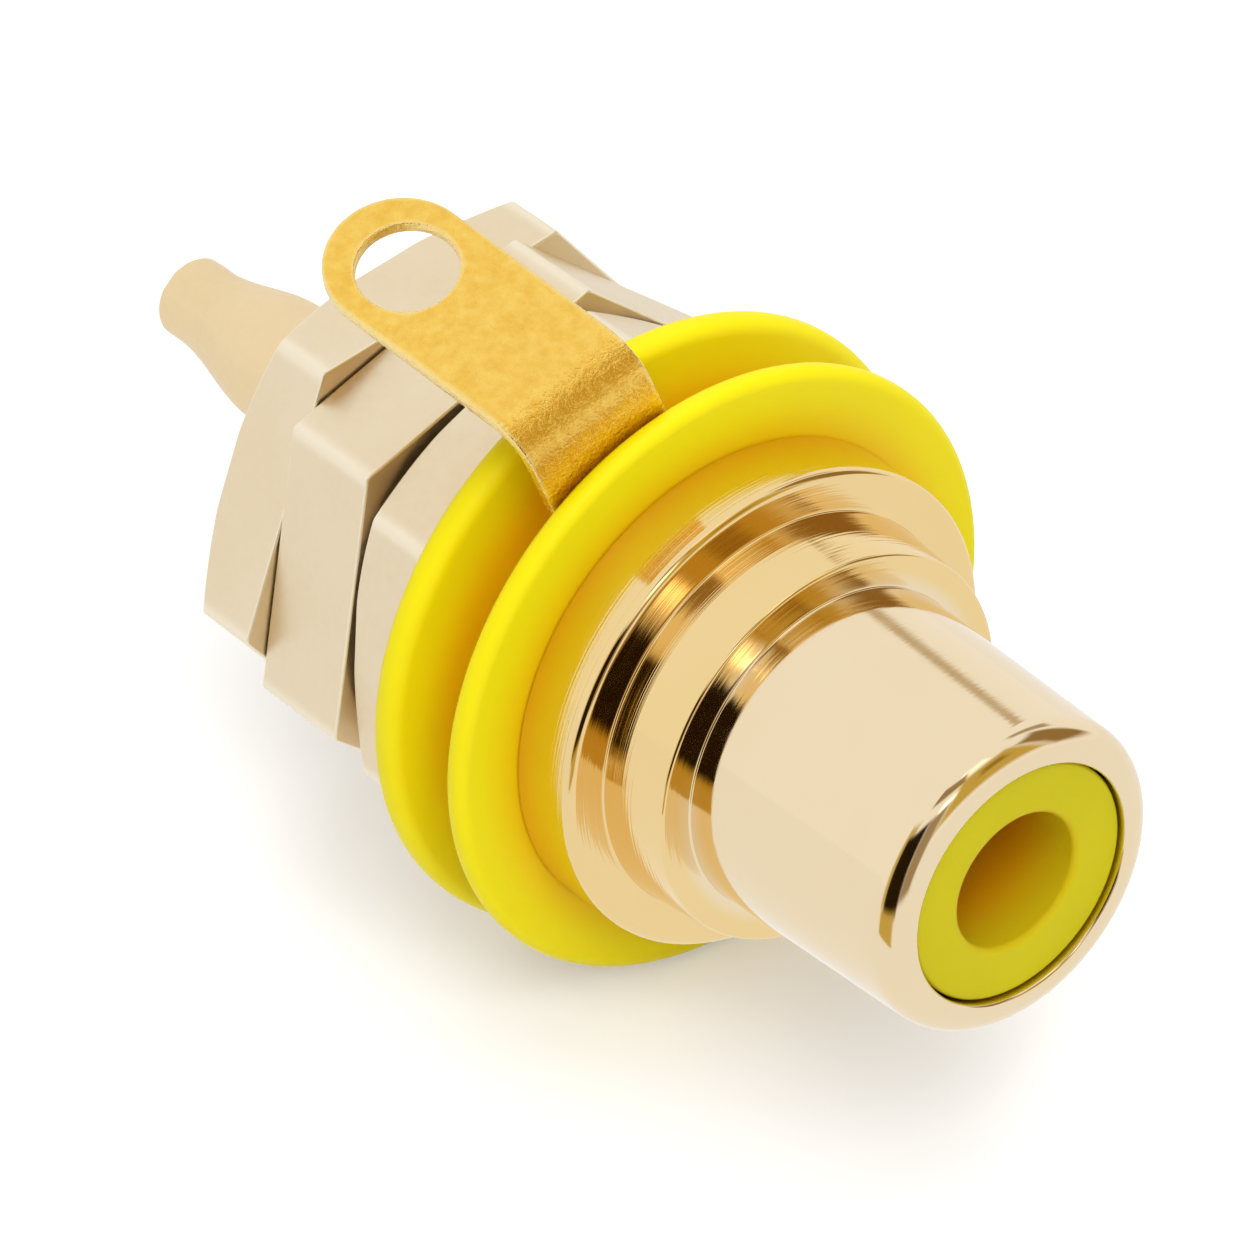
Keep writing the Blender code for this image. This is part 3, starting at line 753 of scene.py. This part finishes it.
NEAR_ROWS, FOLD_ROWS, FAR_ROWS = 7, 25, 9  # of the strip: before, in and behind the fold
EYE_ROWS, SIDE_STEPS, END_STEPS = 8, 10, 40


def weld(patches):
    """One mesh from patches of (points, faces): points that lie on each other become one."""
    counts = np.cumsum([0] + [len(points) for points, _ in patches])
    points = np.concatenate([points for points, _ in patches])
    faces = np.concatenate([faces + start for (_, faces), start in zip(patches, counts)])
    _, first, number = np.unique(np.round(points, 5), axis=0, return_index=True, return_inverse=True)
    return points[first], number.reshape(-1)[faces]


def ring_patch():
    """Annulus round the shank; its columns between -meet and meet are the strip's."""
    meet = math.asin(TAG_HALF / TAG_RING_R)
    angle = np.concatenate([np.linspace(-meet, meet, ACROSS),
                            np.linspace(meet, FULL_TURN - meet, RING_COLUMNS)[1:-1]])
    radius = np.linspace(BORE_R, TAG_RING_R, RING_ROWS)[:, None]
    points = np.stack([radius * np.cos(angle), radius * np.sin(angle)], 2).reshape(-1, 2)
    return points, grid_faces(RING_ROWS, len(angle), False), angle[:ACROSS]


def strip_patch(angle):
    """From the ring's edge to the eye: rows crowd between the fold's two skewed lines."""
    y = TAG_RING_R * np.sin(angle)
    lean = y * math.tan(FOLD_SKEW)
    share = np.linspace(0, 1, FOLD_ROWS)
    bend = (FOLD_START + FOLD_MIDDLE * FOLD_ANGLE * share) / math.cos(FOLD_SKEW)
    knots = [TAG_RING_R * np.cos(angle), *(x + lean for x in bend), np.full(ACROSS, EYE_START)]
    near = knots[0] + np.linspace(0, 1, NEAR_ROWS)[:-1, None] * (knots[1] - knots[0])
    far = knots[-2] + np.linspace(0, 1, FAR_ROWS)[1:, None] * (knots[-1] - knots[-2])
    x = np.concatenate([near, np.array(knots[1:-1]), far])
    points = np.stack([x, np.repeat(y[None], len(x), 0)], 2).reshape(-1, 2)
    return points, grid_faces(len(x), ACROSS, False, False)


def eye_patch(angle):
    """Round the hole: rays run from the hole's edge to the tag's own edge."""
    y = TAG_RING_R * np.sin(angle)
    side = np.linspace(EYE_START, END_X, SIDE_STEPS)[1:]
    half = np.full(len(side), TAG_HALF)
    turn = np.linspace(-math.pi / 2, math.pi / 2, END_STEPS)[1:-1]
    edge = np.concatenate([
        np.stack([np.full(ACROSS, EYE_START), y[::-1]], 1),
        np.stack([side, -half], 1),
        np.stack([END_X + TAG_HALF * np.cos(turn), TAG_HALF * np.sin(turn)], 1),
        np.stack([side[::-1], half], 1)])
    middle = np.array([HOLE_X, 0.0])
    hole = middle + unit(edge - middle) * HOLE_R
    share = np.linspace(0, 1, EYE_ROWS)[:, None, None]
    points = (hole + share * (edge - hole)).reshape(-1, 2)
    return points, grid_faces(EYE_ROWS, len(edge), False)


*ring, meet = ring_patch()
flat_points, tag_faces = weld([ring, strip_patch(meet), eye_patch(meet)])
print("flat tag:", len(flat_points), "points, reaches", round(flat_points[:, 0].max(), 2), "mm")

# %% [markdown]
# ## Folding the tag
# A bending modifier works about its own axes, and this fold stands five degrees off square.
# In numbers it is three steps: a point before the fold stays, one in it travels round an arc,
# and one behind it goes straight on. The points on the sheet's border also get an attribute
# that marks them for a painted highlight on the edges.

# %% Folded tag
EDGE_ROUND = 0.05


def fold(flat):
    """Flat (x, y) to folded (x, y, drop). Past the fold's start, a point first travels round
    an arc of FOLD_MIDDLE, then straight on along the blade."""
    along = np.array([math.cos(FOLD_SKEW), -math.sin(FOLD_SKEW)])
    beside = np.array([math.sin(FOLD_SKEW), math.cos(FOLD_SKEW)])
    u, v = flat @ along, flat @ beside
    angle = np.clip((u - FOLD_START) / FOLD_MIDDLE, 0, FOLD_ANGLE)
    run = np.maximum(u - FOLD_START - FOLD_MIDDLE * FOLD_ANGLE, 0)
    bent = FOLD_START + FOLD_MIDDLE * np.sin(angle) + run * math.cos(FOLD_ANGLE)
    drop = FOLD_MIDDLE * (1 - np.cos(angle)) + run * math.sin(FOLD_ANGLE)
    xy = np.where(u > FOLD_START, bent, u)[:, None] * along + v[:, None] * beside
    return np.concatenate([xy, drop[:, None]], 1)


def border_points(faces, count):
    """1 at the points of edges that only one face uses, 0 at the rest."""
    edges = np.sort(np.stack([faces, np.roll(faces, -1, axis=1)], 2).reshape(-1, 2), axis=1)
    edges = edges[edges[:, 0] != edges[:, 1]]
    pairs, uses = np.unique(edges, axis=0, return_counts=True)
    mask = np.zeros(count, np.float32)
    mask[pairs[uses == 1].ravel()] = 1.0
    return mask


x, y, drop = fold(flat_points).T
cos, sin = math.cos(TAG_AZIMUTH), math.sin(TAG_AZIMUTH)
turned = np.stack([x * cos - y * sin, drop + SEAT_GAP + TAG_SHEET / 2, x * sin + y * cos], 1)
tag_mesh = mesh_of("tag_sheet", turned, tag_faces, closed=False)
# the border points carry the painted edge highlight
mark_points(tag_mesh, "edge_highlight", border_points(tag_faces, len(turned)))
tag = put("tag_sheet", tag_mesh, SHEET_GOLD, "socket", "solder_tag", 40.0)
thicken = tag.modifiers.new("Sheet", "SOLIDIFY")
thicken.thickness = TAG_SHEET * MM
thicken.offset = 0.0
shear = tag.modifiers.new("Sheared edge", "BEVEL")
shear.width = EDGE_ROUND * MM
shear.segments = 3
shear.limit_method = "ANGLE"
shear.angle_limit = math.radians(60)
print("tag folded through", round(math.degrees(FOLD_ANGLE)), "degrees")

# %% [markdown]
# ## Nuts
# A hexagon is a circle whose radius changes with the angle, so a nut can be a lathe grid too:
# its rows run round the section, and the outside radius follows a hexagon with slightly
# rounded corners. Where a nut is chamfered, the face falls away as a cone outside a certain
# circle, and the corners are cut in the curve that real nuts show.

# %% Hexagon
NUT_FLAT = 6.1  # half the distance across flats
CORNER_ROUND = 0.16
NUT_COLUMNS = 288
HALF_SIXTH = math.pi / 6  # angle from a corner to the middle of a flat
CROWDING = 2.2  # power that draws the columns toward the corners


def corner_angle(a):
    """Angle between direction a and the nearest of the six corners."""
    return np.abs(np.mod(a + HALF_SIXTH, 2 * HALF_SIXTH) - HALF_SIXTH)


def hexagon(a):
    """Radius of the hexagon at angle a from a corner. On a flat it is NUT_FLAT / cos of the
    angle from the flat's middle. Near a corner it is the far side of a circle of
    CORNER_ROUND that touches both flats."""
    off = corner_angle(a)
    flat = NUT_FLAT / np.cos(HALF_SIXTH - off)
    d = (NUT_FLAT - CORNER_ROUND) / math.cos(HALF_SIXTH)
    root = np.maximum(CORNER_ROUND ** 2 - (d * np.sin(off)) ** 2, 0)
    arc = d * np.cos(off) + np.sqrt(root)
    touch = HALF_SIXTH - math.atan((NUT_FLAT - CORNER_ROUND) * math.tan(HALF_SIXTH) / NUT_FLAT)
    return np.where(off < touch, arc, flat)


def hexagon_angles():
    """Angles that crowd toward the six corners, where the outline turns."""
    t = np.linspace(-1, 1, NUT_COLUMNS // 6 + 1)[:-1]
    one = np.sign(t) * np.abs(t) ** CROWDING * HALF_SIXTH
    return (one + np.arange(6)[:, None] * 2 * HALF_SIXTH).ravel()


print("corner of the hexagon at", round(float(hexagon(np.zeros(1))[0]), 3), "mm")

# %% Nut faces
NUT_EDGE = 0.07  # round of the outside edges
EDGE_ROWS = 5
COUNTERSINK = 0.35
CONE_SLOPE = math.tan(math.radians(30.0))
CONE_GAP = 0.02  # a cone starts at least this far inside the edge's round
FACE_SHARES = (0, 0.03, 0.5, 0.97, 1.0)  # rows of a flat run, with one close to each end


def face_rows(a, cone_r, height, side):
    """Rows from the countersink out over one face and round its edge. side is 1 for the
    front face and -1 for the rear. Outside cone_r the face falls as a cone."""
    edge_r = hexagon(a) - NUT_EDGE
    kink = np.minimum(cone_r, edge_r - CONE_GAP)

    def fall(r):
        return np.maximum(r - cone_r, 0) * CONE_SLOPE

    t = np.array(FACE_SHARES)[:, None]
    inner = (BORE_R + COUNTERSINK) * (1 - t) + kink * t
    outer = kink * (1 - t[1:]) + edge_r * t[1:]
    turn = np.linspace(0, math.pi / 2, EDGE_ROWS + 1)[1:, None]
    round_r = edge_r + NUT_EDGE * np.sin(turn)
    round_z = fall(edge_r) + NUT_EDGE * (1 - np.cos(turn))
    r = np.concatenate([inner, outer, round_r])
    z = np.concatenate([fall(inner), fall(outer), np.broadcast_to(round_z, round_r.shape)])
    return r, height - side * z


print("each face has", len(face_rows(np.zeros(1), NUT_FLAT, 0.0, 1)[0]), "rows")

# %% [markdown]
# ## Three nuts from one surface
# The nuts differ in thickness, in how far they are turned and in which faces are chamfered,
# so one function takes those and makes all three. Their thickness and place come from the
# frame. A painted highlight sits on the rounds of the outside and on the corners between the
# flats.

# %% Nuts
NO_CONE = 9.0  # farther out than any corner, so nothing is cut
HIGHLIGHT_REACH = 1.6  # how far the painted highlight spreads from a corner, in corner rounds


def nut_surface(name, turned, front_cone, rear_cone):
    """Grid of one nut between its CAD node's front and rear stations, with its first corner
    turned by so many degrees, and its mask for the painted edge highlight: 1 where it is brightest."""
    front, rear = station_span(name)
    a = hexagon_angles()
    r1, s1 = face_rows(a, front_cone, front, 1)
    r2, s2 = face_rows(a, rear_cone, rear, -1)
    bore = np.full((2, len(a)), BORE_R)
    bore_s = np.repeat([[rear + COUNTERSINK], [front - COUNTERSINK]], len(a), 1)
    r = np.concatenate([r1, r2[::-1], bore])
    s = np.concatenate([s1, s2[::-1], bore_s])
    side = len(r1)  # number of the first row behind the side's flat run
    # mask of the painted highlight, on the rounds of the outside and the corners between the flats
    edge_highlight = np.zeros(r.shape)
    edge_highlight[side - EDGE_ROWS:side + EDGE_ROWS] = 1.0
    edge_highlight[side - 1:side + 1] = np.clip(HIGHLIGHT_REACH - NUT_FLAT * corner_angle(a) / CORNER_ROUND, 0, 1)
    return about_axis(r, s, a + math.radians(turned)), grid_faces(len(r), len(a), True), edge_highlight


# degrees turned, and how far out the front and the rear cone start
NUT_SHAPES = {"front_nut": (86.5, NO_CONE, NUT_FLAT), "middle_nut": (81.0, NO_CONE, NO_CONE),
              "rear_nut": (69.5, NO_CONE, NUT_FLAT)}
for nut, shape in NUT_SHAPES.items():
    points, faces, edge_highlight = nut_surface(nut, *shape)
    nut_mesh = mesh_of("hex_" + nut, points, faces)
    mark_points(nut_mesh, "edge_highlight", edge_highlight)
    put("hex_" + nut, nut_mesh, SATIN_GOLD, nut, nut, 28.0)

# %% [markdown]
# ## The camera
# The photograph was taken from above and beside the mouth with a long lens, so parallel edges
# stay nearly parallel. Its place and axes came from ellipses measured on the socket's round
# edges. A camera looks along its own -Z, so its matrix holds right, up and back.

# %% Camera
PHOTO_SIDE = 1254  # the picture is square
FOCAL_PIXELS = 9000.0  # the lens, in pixels of that picture
SENSOR = 36.0
CAMERA_AT = (-0.1086, -0.13155, 0.1209)
CAMERA_RIGHT = (0.7781, -0.6282, 0.0)
CAMERA_UP = (0.3613, 0.4475, 0.8181)
CAMERA_BACK = (-0.5139, -0.6365, 0.5751)


def stand(thing, place, *axes):
    """Puts a camera or lamp at a place in metres, with its X, Y and Z along three axes."""
    matrix = np.eye(4)
    matrix[:3, :3] = np.stack(axes, 1)
    matrix[:3, 3] = place
    thing.matrix_world = matrix.T.tolist()


camera_data = bpy.data.cameras.new("camera")
camera_data.sensor_width = SENSOR
camera_data.lens = SENSOR * FOCAL_PIXELS / PHOTO_SIDE
camera_data.clip_start, camera_data.clip_end = 0.01, 5.0
camera = linked("camera", camera_data)
stand(camera, CAMERA_AT, CAMERA_RIGHT, CAMERA_UP, CAMERA_BACK)
bpy.context.scene.camera = camera
print("lens", round(camera_data.lens, 1), "mm")

# %% [markdown]
# ## The white table
# The socket lies on a white table that has no visible edge. More light would wash out the
# object too, so the table gets its white from Light Path: a camera ray finds it lifted to the
# ground's white, and it keeps the shadow. Mirrors see table and surroundings as one plain
# white, so no horizon shows in the metal.

# %% White table
FLOOR_Z = -7.93  # just under the washers' rims, in millimetres
TABLE_HALF = 900.0
TABLE_LIFT = 0.27  # strength that only the camera sees on top of the light
MIRRORED_WHITE = 0.99  # strength of the white that polished metal reflects
MIRRORED_TABLE = 0.955  # and of the table in the same mirror


def blank_tree(block, output):
    """Emptied node tree of a material or a world, and the Surface input of its new output."""
    block.use_nodes = True
    block.node_tree.nodes.clear()
    return block.node_tree, node(block.node_tree, output).inputs["Surface"]


def blended(tree, share, one, other):
    """Shader that goes from one to other as share goes from 0 to 1."""
    made = node(tree, "ShaderNodeMixShader", in_Fac=share)
    fill(tree, made.inputs[1], one)
    fill(tree, made.inputs[2], other)
    return made.outputs[0]


def stage_sheet(name, points, material):
    """A sheet that is no part of the object, from a grid of points in millimetres."""
    rows, columns = points.shape[:2]
    mesh = mesh_of(name, points.reshape(-1, 3), grid_faces(rows, columns, False, False), closed=False)
    sheet = linked(name, mesh)
    mesh.materials.append(material)
    return sheet


WHITE_TABLE = bpy.data.materials.new("white_table")
tree, surface = blank_tree(WHITE_TABLE, "ShaderNodeOutputMaterial")
path = node(tree, "ShaderNodeLightPath").outputs
matt = node(tree, "ShaderNodeBsdfDiffuse", in_Color=(0.80, 0.80, 0.80))
lift = node(tree, "ShaderNodeEmission", in_Color=WHITE,
            in_Strength=maths(tree, "MULTIPLY", path["Is Camera Ray"], TABLE_LIFT))
both = node(tree, "ShaderNodeAddShader")
fill(tree, both.inputs[0], matt.outputs[0])
fill(tree, both.inputs[1], lift.outputs[0])
mirrored = node(tree, "ShaderNodeEmission", in_Color=WHITE, in_Strength=MIRRORED_TABLE)
fill(tree, surface, blended(tree, path["Is Glossy Ray"], both.outputs[0], mirrored.outputs[0]))
ends = (-TABLE_HALF, TABLE_HALF)
stage_sheet("table", np.array([[(x, y, FLOOR_Z) for x in ends] for y in ends]), WHITE_TABLE)
print("table at", FLOOR_Z, "mm")

# %% [markdown]
# ## Cards that the metal mirrors
# Bright metal shows only what stands round it. Glowing cards that only mirrors see paint
# reflections on it: a black one low beside the camera for the dark bands of the steps, brown
# and gold ones for their warm ends, a thin tan strip for the line along the barrel, and small
# bright ones for painted glints. Each card is a curved sheet that thins out toward its edges,
# through an attribute that mixes it with transparency.

# %% Mirrored cards
BLACK, DEEP, GOLD = (0.02, 0.011, 0.003), (0.28, 0.16, 0.02), (0.60, 0.42, 0.07)
TAN, GLINT, BRIGHT_GLINT = (0.50, 0.36, 0.18), (1.6, 1.5, 1.3), (2.6, 2.6, 2.5)
CARD_COLUMNS, CARD_ROWS = 49, 33


def card_material(name, colour):
    """Card of one colour that thins out by the sheet's own cover attribute."""
    material = bpy.data.materials.new(name)
    tree, surface = blank_tree(material, "ShaderNodeOutputMaterial")
    cover = node(tree, "ShaderNodeAttribute", attribute_name="cover")
    clear = node(tree, "ShaderNodeBsdfTransparent")
    paint = node(tree, "ShaderNodeEmission", in_Color=colour, in_Strength=1.0)
    fill(tree, surface, blended(tree, cover.outputs["Fac"], clear.outputs[0], paint.outputs[0]))
    return material


def card(name, compass, elevation, distance, colour, soft, dense):
    """Curved sheet round the socket, distance millimetres from its origin, between two
    compass angles (from +Y toward +X) and two elevations, in degrees. Its cover rises to
    dense over soft degrees from its edges, but not where the sheet stands on the table."""
    a, e = np.meshgrid(np.linspace(*compass, CARD_COLUMNS), np.linspace(*elevation, CARD_ROWS))
    x, y = distance * np.sin(np.radians(a)), distance * np.cos(np.radians(a))
    z = np.maximum(distance * np.tan(np.radians(e)), FLOOR_Z)
    inside = np.minimum(np.minimum(a - compass[0], compass[1] - a), elevation[1] - e)
    if z[0, 0] > FLOOR_Z:
        inside = np.minimum(inside, e - elevation[0])
    inside = np.clip(inside / soft, 0, 1)
    cover = dense * inside ** 2 * (3 - 2 * inside)
    sheet = stage_sheet(name, np.stack([x, y, z], 2), card_material(name, colour))
    mark_points(sheet.data, "cover", cover)
    for kind in ("camera", "diffuse", "shadow", "transmission", "volume_scatter"):
        setattr(sheet, "visible_" + kind, False)


# each card is a painted reflection or a painted glint, seen by mirrors only
CARDS = {
    "black_flag": ((-151.0, -113.0), (-15.0, 33.0), 29.0, BLACK, 5.0, 1.0),
    "low_flag": ((-153.0, -117.0), (-21.0, -4.0), 21.0, GOLD, 6.0, 0.95),
    "brown_flag_left": ((-126.0, -100.0), (-13.0, 42.0), 34.0, GOLD, 7.0, 0.9),
    "brown_flag_front": ((-168.0, -144.0), (-12.0, 34.0), 36.0, DEEP, 6.0, 0.85),
    "brown_flag_lip": ((-172.0, -116.0), (48.0, 68.0), 60.0, DEEP, 5.0, 0.9),
    "gold_flag_high": ((134.0, 199.0), (6.0, 60.0), 120.0, GOLD, 10.0, 0.97),
    "brown_flag_high": ((148.0, 176.0), (28.0, 50.0), 118.0, DEEP, 9.0, 0.8),
    "brown_flag_right": ((98.0, 140.0), (4.0, 52.0), 130.0, DEEP, 9.0, 0.95),
    "brown_flag_side": ((70.0, 92.0), (30.0, 64.0), 600.0, DEEP, 6.0, 0.75),
    "glint_card": ((-172.0, -146.0), (34.0, 46.0), 600.0, BRIGHT_GLINT, 4.0, 0.9),
    "glint_card_high": ((150.0, 212.0), (60.0, 77.0), 600.0, GLINT, 5.0, 0.8),
    "tan_strip": ((46.0, 51.4), (17.0, 40.0), 600.0, TAN, 2.2, 0.8),
}
for card_name, card_values in CARDS.items():
    card(card_name, *card_values)
print(len(CARDS), "cards stand round the socket")

# %% [markdown]
# ## Light
# A product picture on white has soft light from nearly everywhere. The world gives most of
# it, and two large square lamps above shape the nuts and washers and throw the shadow.
# Mirrors don't see the lamps, whose hard squares would show in the plate. The camera finds
# the world at strength 1, which is white.

# %% Light
AMBIENT = 0.60  # strength of the world as a light


def soft_lamp(name, place, size, energy):
    """Square soft light at place, aimed at the socket, with sizes in millimetres."""
    data = bpy.data.lights.new(name, "AREA")
    data.shape = "SQUARE"
    data.size = size * MM
    data.energy = energy
    lamp = linked(name, data)
    lamp.visible_glossy = False
    back = unit(np.array(place))
    right = unit(np.cross((0.0, 0.0, 1.0), back))
    stand(lamp, np.array(place) * MM, right, np.cross(back, right), back)


soft_lamp("key", (-150.0, -250.0, 330.0), 260.0, 0.9)
soft_lamp("top", (60.0, 60.0, 400.0), 380.0, 0.8)

world = bpy.data.worlds.new("studio")
bpy.context.scene.world = world
tree, surface = blank_tree(world, "ShaderNodeOutputWorld")
path = node(tree, "ShaderNodeLightPath").outputs
ambient, ground, mirrored = (
    node(tree, "ShaderNodeBackground", in_Color=WHITE, in_Strength=strength).outputs[0]
    for strength in (AMBIENT, 1.0, MIRRORED_WHITE))
seen = maths(tree, "MAXIMUM", path["Is Camera Ray"], path["Is Transmission Ray"])
shown = blended(tree, seen, ambient, ground)
fill(tree, surface, blended(tree, path["Is Glossy Ray"], shown, mirrored))
bpy.context.scene.view_settings.view_transform = "Standard"
print("studio ready")
